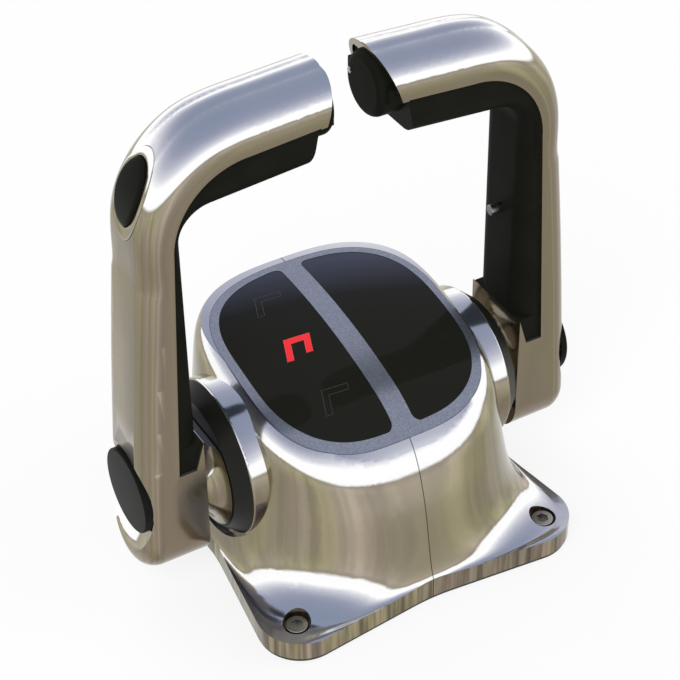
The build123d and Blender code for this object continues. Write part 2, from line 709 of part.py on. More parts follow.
# Housing
both("housing", housing_half())
grow = BEZEL_W
well = prism_disc(WINDOW_A + grow, WINDOW_B + grow, WINDOW_N, WINDOW_Y, TOOL_FOOT, TOOL_HEAD) & half_space(1)
frame = (well & dome()) - dome(BEZEL_T)
seat = window_plan(0.0) - dome(WINDOW_T)
both("bezel", (frame - seat - window_plan(-BEZEL_SILL)).solids()[0])
both("window", ((window_plan(-WINDOW_PLAY) & dome(WINDOW_DIP)) - dome(WINDOW_T)).solids()[0])
shrink = BEZEL_SILL + EYE_MARGIN + DISPLAY_PLAY
module = prism_disc(WINDOW_A - shrink, WINDOW_B - shrink, WINDOW_N, WINDOW_Y, TOOL_FOOT, TOOL_HEAD)
near = WINDOW_BAR / 2 + EYE_BAR_MARGIN + DISPLAY_PLAY
module = module & Pos(near + FAR / 2, 0, 0) * Box(FAR, 2 * FAR, 2 * FAR)
both("display_module", ((module & dome(BEZEL_T)) - dome(BEZEL_T + DISPLAY_T)).solids()[0])

gasket = extrude(flange_outline(GASKET_EDGE), GASKET_T)
plate_a, plate_b, plate_n = CAVITY_FOOT
floor_z = GASKET_T + BASE_T
base_plate = prism_disc(plate_a - PLATE_GAP, plate_b - PLATE_GAP, plate_n, 0, GASKET_T, floor_z)
base_plate = base_plate - Pos(0, PORT_Y, 0) * Cylinder(PORT_R + SEAT, REACH)
gasket = gasket - Pos(0, PORT_Y, 0) * Cylinder(PORT_R + PORT_FLANGE + PORT_CLEAR, REACH)
screw = socket_screw(SCREW_R, SCREW_SEAT + GASKET_T + SCREW_BELOW, SCREW_HEAD_R, SCREW_HEAD_H, HEX_AF)
corners = [(sx * SCREW_X, sy * SCREW_Y) for sx in (-1, 1) for sy in (-1, 1)]
hang = (Align.CENTER, Align.CENTER, Align.MAX)
stand = (Align.CENTER, Align.CENTER, Align.MIN)
waist = Cylinder(SCREW_R + WAIST_OVER, GASKET_T + SCREW_SEAT, align=hang)
screw = (screw - (waist - Cylinder(SCREW_NECK_R, 2 * SCREW_BELOW, align=hang))).solids()[0]
for x, y in corners:
    gasket = gasket - Pos(x, y, 0) * Cylinder(SCREW_HOLE_R, REACH)
parts["base_gasket"] = gasket.solids()[0]
parts["base_plate"] = base_plate.solids()[0]
parts["mounting_screws"] = Compound(children=[
    Pos(x, y, GASKET_T + SCREW_SEAT) * screw for x, y in corners])
gland = Pos(0, 0, GASKET_T - PORT_BELOW) * Cylinder(PORT_R, PORT_LENGTH, align=stand)
gland = gland + Pos(0, 0, GASKET_T - PORT_FLANGE_T) * Cylinder(
    PORT_R + PORT_FLANGE, PORT_FLANGE_T, align=stand)
gland = gland - Pos(0, 0, GASKET_T - PORT_BELOW - 1) * Cylinder(
    PORT_R - PORT_WALL, PORT_SOCKET + 1, align=stand)
gland = Pos(0, PORT_Y, 0) * gland
parts["harness_connector"] = gland.solids()[0]

# Hub
ring = cone_ring(BOSS_X, RING_R, BOSS_X + RING_T, RING_TIP_R, SEAL_R)
both("hub_ring", ring)
both("shaft_seal", cone_ring(BOSS_X, SEAL_R - SEAT, BOSS_X + SEAL_T, SEAL_R - SEAT, SHAFT_R + RUN))
bush_in = BOSS_X - BOSS_DEPTH
bush = cone_ring(bush_in, BUSH_OUTER_R - SEAT, BOSS_X, BUSH_OUTER_R - SEAT, SHAFT_R + RUN)
bush = bush + cone_ring(bush_in - BUSH_FLANGE_T, BUSH_FLANGE_R, bush_in, BUSH_FLANGE_R, SHAFT_R + RUN)
both("shaft_bush", bush.solids()[0])
inner = cone_ring(FRAME_X, BUSH_OUTER_R - SEAT, FRAME_X + FRAME_T, BUSH_OUTER_R - SEAT, SHAFT_R + RUN)
inner = inner + cone_ring(FRAME_X + FRAME_T, BUSH_FLANGE_R, FRAME_X + FRAME_T + BUSH_FLANGE_T,
                          BUSH_FLANGE_R, SHAFT_R + RUN)
both("inner_bush", inner.solids()[0])

# Centre frame
frame_y = (FRAME_AFT + FRAME_FWD) / 2
frame_l = FRAME_FWD - FRAME_AFT
upright = Pos(FRAME_X + FRAME_T / 2, frame_y, (floor_z + FRAME_TOP) / 2) * Box(
    FRAME_T, frame_l, FRAME_TOP - floor_z)
leaf_z = PIVOT_Z + DISC_R + ROLLER_GAP + 2 * ROLLER_R
lug_out = DISC_X + DISC_T + LUG_OVER
lug_y = LUG_Y + LUG_LENGTH / 2
mast_foot = FRAME_TOP - MAST_SUNK
mast = Pos(FRAME_X + FRAME_T / 2, lug_y, (mast_foot + leaf_z) / 2) * Box(
    FRAME_T, LUG_LENGTH, leaf_z - mast_foot)
lug = Pos((FRAME_X + lug_out) / 2, lug_y, leaf_z - LUG_T / 2) * Box(lug_out - FRAME_X, LUG_LENGTH, LUG_T)
upright = upright + mast + lug
upright = upright - x_cylinder(BUSH_OUTER_R, FRAME_X - 1, FRAME_X + FRAME_T + 1)
foot = Pos(0, frame_y, floor_z + FRAME_FOOT_T / 2) * Box(2 * (FRAME_X + FRAME_T), frame_l, FRAME_FOOT_T)
parts["centre_frame"] = (foot + upright + upright.mirror(Plane.YZ)).solids()[0]

# What rides on each shaft
shaft = x_cylinder(SHAFT_R, SHAFT_IN_X, SHAFT_OUT_X)
shaft = shaft - x_cylinder(HUB_BOLT_R, SHAFT_OUT_X - HUB_BOLT_IN, SHAFT_OUT_X + 1)
both("lever_shaft", shaft)
notched = cone_ring(DISC_X, DISC_R, DISC_X + DISC_T, DISC_R, SHAFT_R + SEAT)
for k in (-1, 0, 1):
    t = radians(90 + k * DETENT_STEP)
    reach = DISC_R + NOTCH_R - NOTCH_DEPTH
    notched = notched - x_cylinder(NOTCH_R, DISC_X - 1, DISC_X + DISC_T + 1,
                                   reach * cos(t), PIVOT_Z + reach * sin(t))
both("detent_disc", notched.solids()[0])
both("drive_gear", gear(DRIVE_TEETH, GEAR_X, GEAR_T, SHAFT_R + SEAT))
gear_end = GEAR_X + GEAR_T
clip_x = gear_end + CLIP_GAP
clip = cone_ring(clip_x, CLIP_R, clip_x + CLIP_T, CLIP_R, SHAFT_R + SEAT)
slot = Pos(clip_x + CLIP_T / 2, 0, PIVOT_Z - CLIP_R) * Box(
    2 * CLIP_T, CLIP_SLOT, 2 * CLIP_SLOT_DEPTH)
both("shaft_clip", clip - slot)

# Sensor gear and its spindle
spread = MODULE * (DRIVE_TEETH + SENSOR_TEETH) / 2
both("sensor_gear", gear(SENSOR_TEETH, GEAR_X, GEAR_T, SPINDLE_R + RUN, spread,
                         180 + 180 / SENSOR_TEETH))
spindle = x_cylinder(SPINDLE_R, FRAME_X + FRAME_T, gear_end + SPINDLE_OVER, spread)
head_x = gear_end + SENSOR_GAP
spindle = spindle + x_cylinder(SPINDLE_R + SPINDLE_HEAD, head_x, head_x + SPINDLE_HEAD_T, spread)
sensor_x = FRAME_X + FRAME_T
sensor = Pos(sensor_x, spread, PIVOT_Z) * Box(
    GEAR_X - SENSOR_GAP - sensor_x, SENSOR_WIDTH, SENSOR_HEIGHT,
    align=(Align.MIN, Align.CENTER, Align.CENTER))
both("sensor_module", (sensor - x_cylinder(SPINDLE_R + SEAT, 0, 2 * GEAR_X, spread)).solids()[0])
both("sensor_spindle", spindle.solids()[0])

# Detent roller on its leaf spring
roller_z = PIVOT_Z + DISC_R + ROLLER_GAP + ROLLER_R
leaf_x = DISC_X + DISC_T / 2
leaf_end = -ROLLER_R - LEAF_OVER
leaf = Pos(leaf_x, (LUG_Y + LUG_LENGTH + leaf_end) / 2, leaf_z + LEAF_T / 2) * Box(
    DISC_T + LEAF_OVER, LUG_LENGTH + LUG_Y - leaf_end, LEAF_T)
both("detent_spring", leaf)
both("detent_roller", x_cylinder(ROLLER_R, DISC_X, DISC_X + DISC_T, 0, roller_z))

# Friction pad under the disc
pad_r = DISC_R + PAD_GAP
pad = cone_ring(DISC_X, pad_r + PAD_T, DISC_X + DISC_T, pad_r + PAD_T, pad_r)
pad = pad & Pos(0, 0, PIVOT_Z - PAD_DROP - PAD_WIDTH / 2) * Box(FAR, PAD_WIDTH, PAD_WIDTH)
both("friction_pad", pad.solids()[0])
saddle = Pos(DISC_X + DISC_T / 2, 0, 0) * Box(
    SADDLE_T, PAD_WIDTH, PIVOT_Z - floor_z, align=stand)
saddle = Pos(0, 0, floor_z) * saddle - x_cylinder(pad_r + PAD_T, 0, 2 * DISC_X)
both("friction_saddle", saddle.solids()[0])

# Levers
shaft_bore = x_cylinder(SHAFT_R + SEAT, NECK_X - 1, SHAFT_OUT_X)
bolt_floor = SHAFT_OUT_X + HUB_WEB
hub = [
    shaft_bore,
    x_cylinder(HUB_BOLT_R + FIT, SHAFT_OUT_X - 1, bolt_floor + 1),
    x_cylinder(HUB_HEAD_R + FIT, bolt_floor, bolt_floor + REACH),
    x_cylinder(CAP_R + FIT, CAP_X - CAP_T, CAP_X + REACH),
]
both("lever_shell", lever_shell(hub))
insert = grip_insert()
insert = (insert + neck_cap(NECK_PLAY)).solids()[0] - shaft_bore
both("grip_insert", max(insert.solids(), key=lambda q: q.volume))
bolt_length = HUB_WEB + HUB_BOLT_IN - HUB_BOLT_SHORT
bolt = socket_screw(HUB_BOLT_R - SEAT, bolt_length, HUB_HEAD_R, HUB_HEAD_H, HUB_HEX_AF)
both("hub_bolt", lay_along_x(bolt, bolt_floor, 0, PIVOT_Z))
cap = x_cylinder(CAP_R, CAP_X - CAP_T, CAP_X)
cap = cap.fillet(CAP_EDGE, [cap.edges().sort_by(Axis.X)[-1]])
both("hub_cap", cap)

# Trim rocker on the port lever only
outer_skin = Solid.make_loft(lever_stations(-TRIM_PROUD))
under_skin = Solid.make_loft(lever_stations(TRIM_T))
rocker = (trim_prism(0.0) & outer_skin) - under_skin
parts["trim_rocker"] = max(rocker.solids(), key=lambda q: q.volume).mirror(Plane.YZ)
parts["lever_shell_port"] = (parts["lever_shell_port"] - trim_prism(TRIM_CLEAR).mirror(Plane.YZ)).solids()[0]
base = (trim_prism(-TRIM_BASE_IN) & Solid.make_loft(lever_stations(TRIM_T + TRIM_GAP))) - Solid.make_loft(
    lever_stations(TRIM_T + TRIM_GAP + TRIM_BASE_T))
parts["trim_switch"] = max(base.solids(), key=lambda q: q.volume).mirror(Plane.YZ)

for name, shape in parts.items():
    export_step(shape, f"parts/{name}.step")
    print(f"{name:28s} {shape.volume:10.0f} {len(shape.solids())}")
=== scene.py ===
# %% [markdown]
# # Twin throttle control for a boat
# The engineering model already has every solid at its real size. This lesson
# dresses it: smooth polished shells, satin black mouldings, smoked windows with
# their lit marks, and a plain pale studio round it all.

import json
import math

import bmesh
import bpy
from mathutils import Matrix, Vector
from mathutils.bvhtree import BVHTree

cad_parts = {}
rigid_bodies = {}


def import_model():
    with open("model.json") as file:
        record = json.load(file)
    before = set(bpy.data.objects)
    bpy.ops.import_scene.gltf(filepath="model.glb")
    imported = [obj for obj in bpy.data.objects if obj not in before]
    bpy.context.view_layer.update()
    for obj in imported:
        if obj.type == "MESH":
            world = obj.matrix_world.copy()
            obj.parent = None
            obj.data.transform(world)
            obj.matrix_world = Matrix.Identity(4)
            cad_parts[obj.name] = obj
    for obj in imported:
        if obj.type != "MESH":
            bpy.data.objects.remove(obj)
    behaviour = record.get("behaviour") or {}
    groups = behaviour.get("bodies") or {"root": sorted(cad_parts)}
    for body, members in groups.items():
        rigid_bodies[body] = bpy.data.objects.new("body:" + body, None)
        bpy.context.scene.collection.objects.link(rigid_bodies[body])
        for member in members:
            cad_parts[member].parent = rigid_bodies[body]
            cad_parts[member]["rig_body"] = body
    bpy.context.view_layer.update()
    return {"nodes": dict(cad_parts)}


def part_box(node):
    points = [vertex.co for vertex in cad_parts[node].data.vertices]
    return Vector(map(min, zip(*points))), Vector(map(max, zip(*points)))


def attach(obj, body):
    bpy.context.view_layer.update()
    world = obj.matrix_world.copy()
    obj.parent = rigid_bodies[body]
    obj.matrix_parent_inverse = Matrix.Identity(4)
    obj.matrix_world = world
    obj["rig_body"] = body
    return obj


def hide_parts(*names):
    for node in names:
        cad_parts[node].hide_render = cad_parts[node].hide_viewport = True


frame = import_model()
nodes = frame["nodes"]

MM = 0.001
scene = bpy.context.scene
scene.view_settings.view_transform = "Standard"

# %% [markdown]
# ## A helper for shader trees
# Every finish here is a small tree of nodes. Adding each node with its settings
# in one line keeps the recipes readable, so the helper takes the settings as
# keywords and fills the named inputs from a dictionary.

# %% Node helper
def add_node(tree, kind, inputs=None, **settings):
    node = tree.nodes.new(kind)
    for name, value in settings.items():
        setattr(node, name, value)
    for name, value in (inputs or {}).items():
        node.inputs[name].default_value = value
    return node


def new_material(name):
    material = bpy.data.materials.new(name)
    material.use_nodes = True
    tree = material.node_tree
    tree.nodes.clear()
    shader = add_node(tree, "ShaderNodeBsdfPrincipled")
    output = add_node(tree, "ShaderNodeOutputMaterial")
    tree.links.new(shader.outputs["BSDF"], output.inputs["Surface"])
    return material, tree, shader


def new_group(name, inputs, outputs):
    group = bpy.data.node_groups.new(name, "ShaderNodeTree")
    for socket, kind, value in inputs:
        made = group.interface.new_socket(socket, in_out="INPUT", socket_type=kind)
        made.default_value = value
    for socket, kind in outputs:
        group.interface.new_socket(socket, in_out="OUTPUT", socket_type=kind)
    return group, add_node(group, "NodeGroupInput"), add_node(group, "NodeGroupOutput")


# %% [markdown]
# ## Shared effect: fine unevenness
# No real surface is perfectly even. Two sizes of noise, one for handling marks
# and one for the grain of the finish, give a roughness to vary and a height to
# bump. It is a group, so each finish sets its own grain size.

# %% Fine unevenness group
def build_unevenness():
    group, given, result = new_group(
        "fine_unevenness",
        [("Grain Scale", "NodeSocketFloat", 900.0), ("Roughness", "NodeSocketFloat", 0.4),
         ("Variation", "NodeSocketFloat", 0.08)],
        [("Roughness", "NodeSocketFloat"), ("Height", "NodeSocketFloat")])
    place = add_node(group, "ShaderNodeTexCoord")
    marks = add_node(group, "ShaderNodeTexNoise", {"Scale": 45.0, "Detail": 4.0, "Roughness": 0.6})
    grain = add_node(group, "ShaderNodeTexNoise", {"Detail": 2.0})
    centred = add_node(group, "ShaderNodeMath", {1: 0.5}, operation="SUBTRACT")
    scaled = add_node(group, "ShaderNodeMath", operation="MULTIPLY")
    total = add_node(group, "ShaderNodeMath", operation="ADD", use_clamp=True)
    link = group.links.new
    link(place.outputs["Object"], marks.inputs["Vector"])
    link(place.outputs["Object"], grain.inputs["Vector"])
    link(given.outputs["Grain Scale"], grain.inputs["Scale"])
    link(marks.outputs["Fac"], centred.inputs[0])
    link(centred.outputs[0], scaled.inputs[0])
    link(given.outputs["Variation"], scaled.inputs[1])
    link(scaled.outputs[0], total.inputs[0])
    link(given.outputs["Roughness"], total.inputs[1])
    link(total.outputs[0], result.inputs["Roughness"])
    link(grain.outputs["Fac"], result.inputs["Height"])
    return group


unevenness = build_unevenness()
print(unevenness.name, "has", len(unevenness.nodes), "nodes")


def add_unevenness(tree, shader, scale, roughness, variation, bump):
    """Wire the shared group to a shader's roughness and, through a bump, to its normal."""
    grain = add_node(tree, "ShaderNodeGroup", node_tree=unevenness)
    for name, value in (("Grain Scale", scale), ("Roughness", roughness), ("Variation", variation)):
        grain.inputs[name].default_value = value
    tree.links.new(grain.outputs["Roughness"], shader.inputs["Roughness"])
    if bump:
        lift = add_node(tree, "ShaderNodeBump", {"Strength": bump, "Distance": 0.0002})
        tree.links.new(grain.outputs["Height"], lift.inputs["Height"])
        tree.links.new(lift.outputs["Normal"], shader.inputs["Normal"])


# %% [markdown]
# ## Shared effect: painted reflection of sky above, quay below
# Polished steel has hardly any colour of its own. On a boat it shows pale sky on
# what faces up and warm ground on what faces sideways, with a bright band between.
# A studio has neither, so the finish carries a soft version of both as painted
# reflection: painted sky, painted quay, and a painted white highlight band between
# them, with painted streaks in the quay. It reads only which way the surface faces,
# so it stays put when the camera moves.

# %% Painted sky and quay reflection group
# The painted reflection is worked out for one fixed viewing direction, up, to port and aft, the same way
# this scene's camera looks. Its stops are painted colour: warm quay, a darker edge, a painted white
# highlight band, then pale blue painted sky.
PAINTED_REFLECTION_VIEW = (-0.385, -0.682, 0.621)
PAINTED_REFLECTION_STOPS = (
    (0.00, (0.205, 0.170, 0.120)), (0.18, (0.235, 0.195, 0.145)), (0.27, (0.285, 0.245, 0.185)),
    (0.37, (0.345, 0.305, 0.225)), (0.46, (0.410, 0.365, 0.290)), (0.50, (0.320, 0.280, 0.220)),
    (0.53, (1.00, 1.00, 1.00)), (0.66, (1.00, 1.00, 1.00)), (0.725, (0.66, 0.67, 0.73)),
    (0.785, (0.47, 0.48, 0.57)), (0.86, (0.315, 0.335, 0.435)), (0.93, (0.255, 0.285, 0.385)),
    (1.00, (0.225, 0.265, 0.365)),
)


def colour_ramp(tree, stops):
    ramp = add_node(tree, "ShaderNodeValToRGB")
    elements = ramp.color_ramp.elements
    while len(elements) < len(stops):
        elements.new(0.5)
    for element, (place, colour) in zip(elements, stops):
        element.position = place
        element.color = (*colour, 1.0)
    return ramp


def multiplied(tree, a, b, share=1.0):
    mix = add_node(tree, "ShaderNodeMix", {"Factor": share}, data_type="RGBA", blend_type="MULTIPLY")
    tree.links.new(a, mix.inputs["A"])
    tree.links.new(b, mix.inputs["B"])
    return mix


def faded(tree, value, start, end, first=1.0, last=0.0):
    """A value that goes from first to last while the given one goes from start to end."""
    fade = add_node(tree, "ShaderNodeMapRange",
                    {"From Min": start, "From Max": end, "To Min": first, "To Max": last})
    tree.links.new(value, fade.inputs["Value"])
    return fade.outputs["Result"]


def build_painted_sky_and_quay():
    group, given, result = new_group(
        "painted_sky_and_quay",
        [("Painted Reflection Streaks", "NodeSocketFloat", 1.0)],
        [("Color", "NodeSocketColor"), ("Height", "NodeSocketFloat")])
    link = group.links.new
    faces = add_node(group, "ShaderNodeNewGeometry")
    split = add_node(group, "ShaderNodeSeparateXYZ")
    toward = add_node(group, "ShaderNodeVectorMath", {1: PAINTED_REFLECTION_VIEW}, operation="DOT_PRODUCT")
    doubled = add_node(group, "ShaderNodeMath", operation="MULTIPLY")
    height = add_node(group, "ShaderNodeMath", {1: 2.0, 2: -PAINTED_REFLECTION_VIEW[2]}, operation="MULTIPLY_ADD")
    as_ramp = add_node(group, "ShaderNodeMath", {1: 0.5, 2: 0.5}, operation="MULTIPLY_ADD", use_clamp=True)
    link(faces.outputs["Normal"], split.inputs[0])
    link(faces.outputs["Normal"], toward.inputs[0])
    link(toward.outputs["Value"], doubled.inputs[0])
    link(split.outputs["Z"], doubled.inputs[1])
    link(doubled.outputs[0], height.inputs[0])
    link(height.outputs[0], as_ramp.inputs[0])
    ramp = colour_ramp(group, PAINTED_REFLECTION_STOPS)
    link(as_ramp.outputs[0], ramp.inputs["Fac"])
    # Painted streaks in the reflected quay: olive patches and lighter and darker bands, only where the
    # painted reflection shows the quay.
    patches = add_node(group, "ShaderNodeTexNoise", {"Scale": 2.1, "Detail": 1.5, "Roughness": 0.5})
    olive = colour_ramp(group, ((0.40, (1.06, 1.02, 1.03)), (0.60, (0.86, 0.88, 0.70))))
    stretched = add_node(group, "ShaderNodeVectorMath", {1: (6.0, 6.0, 1.0)}, operation="MULTIPLY")
    bands = add_node(group, "ShaderNodeTexNoise", {"Scale": 1.3, "Detail": 3.0, "Roughness": 0.5})
    share = add_node(group, "ShaderNodeMath", operation="MULTIPLY")
    link(faces.outputs["Normal"], patches.inputs["Vector"])
    link(patches.outputs["Fac"], olive.inputs["Fac"])
    link(faces.outputs["Normal"], stretched.inputs[0])
    link(stretched.outputs[0], bands.inputs["Vector"])
    shade = faded(group, bands.outputs["Fac"], 0.34, 0.66, 0.74, 1.16)
    link(faded(group, as_ramp.outputs[0], 0.47, 0.52), share.inputs[0])
    link(given.outputs["Painted Reflection Streaks"], share.inputs[1])
    ground = multiplied(group, ramp.outputs["Color"], olive.outputs["Color"])
    tint = multiplied(group, ground.outputs["Result"], shade)
    for mix in (ground, tint):
        link(share.outputs[0], mix.inputs["Factor"])
    link(tint.outputs["Result"], result.inputs["Color"])
    link(as_ramp.outputs[0], result.inputs["Height"])
    return group


painted_sky_and_quay = build_painted_sky_and_quay()
print(painted_sky_and_quay.name, "has", len(PAINTED_REFLECTION_STOPS), "colour stops")

# %% [markdown]
# ## Seam and rim of the housing
# The seam between the housing's halves is a hairline. A groove would need many
# faces, so it is drawn in the finish, as a dark line where the halves meet. The
# upright edge of the foot shows fine upright streaks, which no single light gives,
# so they are painted reflection streaks, lighter and darker, as noise stretched
# along the height where the painted reflection shows the quay.

# %% Seam and rim of the housing
SEAM_CORE, SEAM_EDGE, SEAM_DARK = 0.12 * MM, 0.35 * MM, 0.22
RIM_TOP, RIM_FADE = 12.5 * MM, 1.5 * MM


def seamed_with_reflection_streaks(tree, colour, height):
    """The given colour with the housing's seam, and with painted reflection streaks on the foot's upright
    edge.
    """
    place = add_node(tree, "ShaderNodeTexCoord")
    axes = add_node(tree, "ShaderNodeSeparateXYZ")
    off_middle = add_node(tree, "ShaderNodeMath", operation="ABSOLUTE")
    upright = add_node(tree, "ShaderNodeVectorMath", {1: (1.0, 1.0, 0.05)}, operation="MULTIPLY")
    streaks = add_node(tree, "ShaderNodeTexNoise", {"Scale": 300.0, "Detail": 2.0, "Roughness": 0.6})
    share = add_node(tree, "ShaderNodeMath", operation="MULTIPLY")
    link = tree.links.new
    link(place.outputs["Object"], axes.inputs[0])
    link(axes.outputs["X"], off_middle.inputs[0])
    link(place.outputs["Object"], upright.inputs[0])
    link(upright.outputs[0], streaks.inputs["Vector"])
    link(faded(tree, axes.outputs["Z"], RIM_TOP - RIM_FADE, RIM_TOP), share.inputs[0])
    link(faded(tree, height, 0.44, 0.52), share.inputs[1])
    line = faded(tree, off_middle.outputs[0], SEAM_CORE, SEAM_EDGE, SEAM_DARK, 1.0)
    # Painted reflection streaks: the rim's colour made lighter and darker in upright bands.
    reflection_streak_level = faded(tree, streaks.outputs["Fac"], 0.36, 0.64, 0.50, 1.45)
    seamed = multiplied(tree, colour, line)
    streaked = multiplied(tree, seamed.outputs["Result"], reflection_streak_level)
    link(share.outputs[0], streaked.inputs["Factor"])
    return streaked.outputs["Result"]


# %% [markdown]
# ## Polished stainless steel
# The housing and both levers are one finish: cast, ground and buffed. A plain
# white room would leave a mirror finish blank, so its colour is a painted reflection
# of the sky and quay, with a painted highlight band, and its gloss adds the
# reflections of the pieces round it.

# %% Polished steel
def polished_steel(name, with_seam=False):
    material, tree, shader = new_material(name)
    shader.inputs["Metallic"].default_value = 0.9
    # The base colour is the painted sky and quay reflection, highlight band included.
    sky = add_node(tree, "ShaderNodeGroup", node_tree=painted_sky_and_quay)
    add_unevenness(tree, shader, 1400.0, 0.13, 0.05, 0.0)
    colour = sky.outputs["Color"]
    if with_seam:
        colour = seamed_with_reflection_streaks(tree, colour, sky.outputs["Height"])
    tree.links.new(colour, shader.inputs["Base Color"])
    return material


housing_steel = polished_steel("housing_steel", with_seam=True)
lever_steel = polished_steel("lever_steel")
print("polished finishes:", housing_steel.name, lever_steel.name)

# %% [markdown]
# ## Moulded and painted finishes
# Plastics differ from each other by gloss and grain far more than by colour. One
# recipe takes the colour, the roughness and the grain, and adds a slow drift of
# tone so that no large face is one flat colour.

# %% Plain finishes
def coloured_finish(name, colour, roughness, metallic=0.0, grain=1200.0, bump=0.15,
                    drift=0.12, specular=0.5, variation=0.10):
    material, tree, shader = new_material(name)
    shader.inputs["Metallic"].default_value = metallic
    shader.inputs["Specular IOR Level"].default_value = specular
    add_unevenness(tree, shader, grain, roughness, variation, bump)
    place = add_node(tree, "ShaderNodeTexCoord")
    cloud = add_node(tree, "ShaderNodeTexNoise", {"Scale": 60.0, "Detail": 5.0})
    darker = [c * (1 - drift) for c in colour]
    brighter = [min(1.0, c * (1 + drift)) for c in colour]
    ramp = colour_ramp(tree, ((0.3, darker), (0.7, brighter)))
    tree.links.new(place.outputs["Object"], cloud.inputs["Vector"])
    tree.links.new(cloud.outputs["Fac"], ramp.inputs["Fac"])
    tree.links.new(ramp.outputs["Color"], shader.inputs["Base Color"])
    return material


satin_black = coloured_finish("satin_black", (0.0105, 0.0112, 0.0080), 0.50, grain=1800, bump=0.08,
                              specular=0.02)
ring_black = coloured_finish("ring_black", (0.012, 0.012, 0.010), 0.36, grain=1500, bump=0.08, specular=0.12)
gloss_black = coloured_finish("gloss_black", (0.0085, 0.0090, 0.0065), 0.12, bump=0.0, specular=0.03)
cap_black = coloured_finish("cap_black", (0.011, 0.011, 0.010), 0.34, bump=0.05, specular=0.02)
gasket_rubber = coloured_finish("gasket_rubber", (0.05, 0.05, 0.047), 0.75, grain=700, bump=0.3)
screw_steel = coloured_finish("screw_steel", (0.34, 0.34, 0.33), 0.26, metallic=1.0, bump=0.1)
shaft_steel = coloured_finish("shaft_steel", (0.50, 0.50, 0.50), 0.30, metallic=1.0, grain=2500)
spring_steel = coloured_finish("spring_steel", (0.22, 0.24, 0.30), 0.33, metallic=1.0)
cast_metal = coloured_finish("cast_metal", (0.42, 0.42, 0.43), 0.50, metallic=1.0, grain=500, bump=0.4)
gear_plastic = coloured_finish("gear_plastic", (0.72, 0.69, 0.58), 0.42, grain=900)
bush_plastic = coloured_finish("bush_plastic", (0.66, 0.64, 0.58), 0.38, grain=900)
filled_plastic = coloured_finish("filled_plastic", (0.045, 0.045, 0.048), 0.60, grain=600, bump=0.3)
connector_black = coloured_finish("connector_black", (0.025, 0.025, 0.028), 0.50, grain=800)
friction_brown = coloured_finish("friction_brown", (0.10, 0.06, 0.04), 0.85, grain=400, bump=0.5, drift=0.35)
print("plain finishes from", satin_black.name, "to", friction_brown.name)

# %% [markdown]
# ## Bezel paint
# The frame round the windows is graphite paint with a fine metal flake. Small
# noise cells make some flakes brighter than the rest, which is what sparkles.

# %% Bezel paint
def flake_paint(name, dark, bright):
    material, tree, shader = new_material(name)
    shader.inputs["Metallic"].default_value = 0.9
    add_unevenness(tree, shader, 2600.0, 0.32, 0.08, 0.06)
    place = add_node(tree, "ShaderNodeTexCoord")
    flakes = add_node(tree, "ShaderNodeTexVoronoi", {"Scale": 2400.0})
    level = add_node(tree, "ShaderNodeSeparateColor")
    ramp = colour_ramp(tree, ((0.35, dark), (0.95, bright)))
    tree.links.new(place.outputs["Object"], flakes.inputs["Vector"])
    tree.links.new(flakes.outputs["Color"], level.inputs[0])
    tree.links.new(level.outputs[0], ramp.inputs["Fac"])
    tree.links.new(ramp.outputs["Color"], shader.inputs["Base Color"])
    return material


bezel_paint = flake_paint("bezel_paint", (0.185, 0.205, 0.275), (0.255, 0.285, 0.365))

# %% [markdown]
# ## Smoked window
# Behind the gloss of the lens it is black. The forward end leans to the sky and
# carries a painted bluish sheen, a painted reflection of the sky, stronger to
# starboard, which fades towards the middle. A reflection would slide as the camera
# moves, so the painted sheen is a ramp along Y.

# %% Smoked window
SHEEN_END, SHEEN_SKEW = 50 * MM, 0.25


def smoked_window():
    material, tree, shader = new_material("smoked_window")
    shader.inputs["Specular IOR Level"].default_value = 0.05
    add_unevenness(tree, shader, 900.0, 0.07, 0.03, 0.0)
    place = add_node(tree, "ShaderNodeTexCoord")
    axes = add_node(tree, "ShaderNodeSeparateXYZ")
    further = add_node(tree, "ShaderNodeMath", {1: SHEEN_SKEW}, operation="MULTIPLY_ADD")
    # The ramp's blue end is the painted sheen; the rest is the window's own black.
    ramp = colour_ramp(tree, ((0.0, (0.0125, 0.0130, 0.0105)), (0.45, (0.014, 0.0145, 0.0145)),
                              (1.0, (0.060, 0.068, 0.112))))
    tree.links.new(place.outputs["Object"], axes.inputs[0])
    tree.links.new(axes.outputs["X"], further.inputs[0])
    tree.links.new(axes.outputs["Y"], further.inputs[2])
    tree.links.new(faded(tree, further.outputs[0], 0.0, SHEEN_END, 0.0, 1.0), ramp.inputs["Fac"])
    tree.links.new(ramp.outputs["Color"], shader.inputs["Base Color"])
    return material


window_smoke = smoked_window()
print("sheen ends", round(SHEEN_END / MM), "mm ahead of the middle")

# %% [markdown]
# ## Giving each solid its finish
# The names of the solids say what they are, so a short table of name beginnings
# is enough to give every one of them a finish.

# %% Assign finishes
FINISHES = (
    ("housing", housing_steel), ("lever_shell", lever_steel), ("bezel", bezel_paint),
    ("window", window_smoke), ("display_module", connector_black), ("base_gasket", gasket_rubber),
    ("base_plate", filled_plastic), ("mounting_screws", screw_steel), ("harness_connector", connector_black),
    ("hub_ring", ring_black), ("shaft_seal", gasket_rubber), ("shaft_bush", bush_plastic),
    ("inner_bush", bush_plastic), ("centre_frame", cast_metal), ("lever_shaft", shaft_steel),
    ("detent_disc", shaft_steel), ("drive_gear", gear_plastic), ("shaft_clip", spring_steel),
    ("sensor_gear", gear_plastic), ("sensor_module", connector_black), ("sensor_spindle", shaft_steel),
    ("detent_spring", spring_steel), ("detent_roller", shaft_steel), ("friction_pad", friction_brown),
    ("friction_saddle", filled_plastic), ("grip_insert", satin_black), ("hub_bolt", screw_steel),
    ("hub_cap", cap_black), ("trim_rocker", gloss_black), ("trim_switch", connector_black),
)


def finish_of(name):
    return next(material for start, material in FINISHES if name.startswith(start))


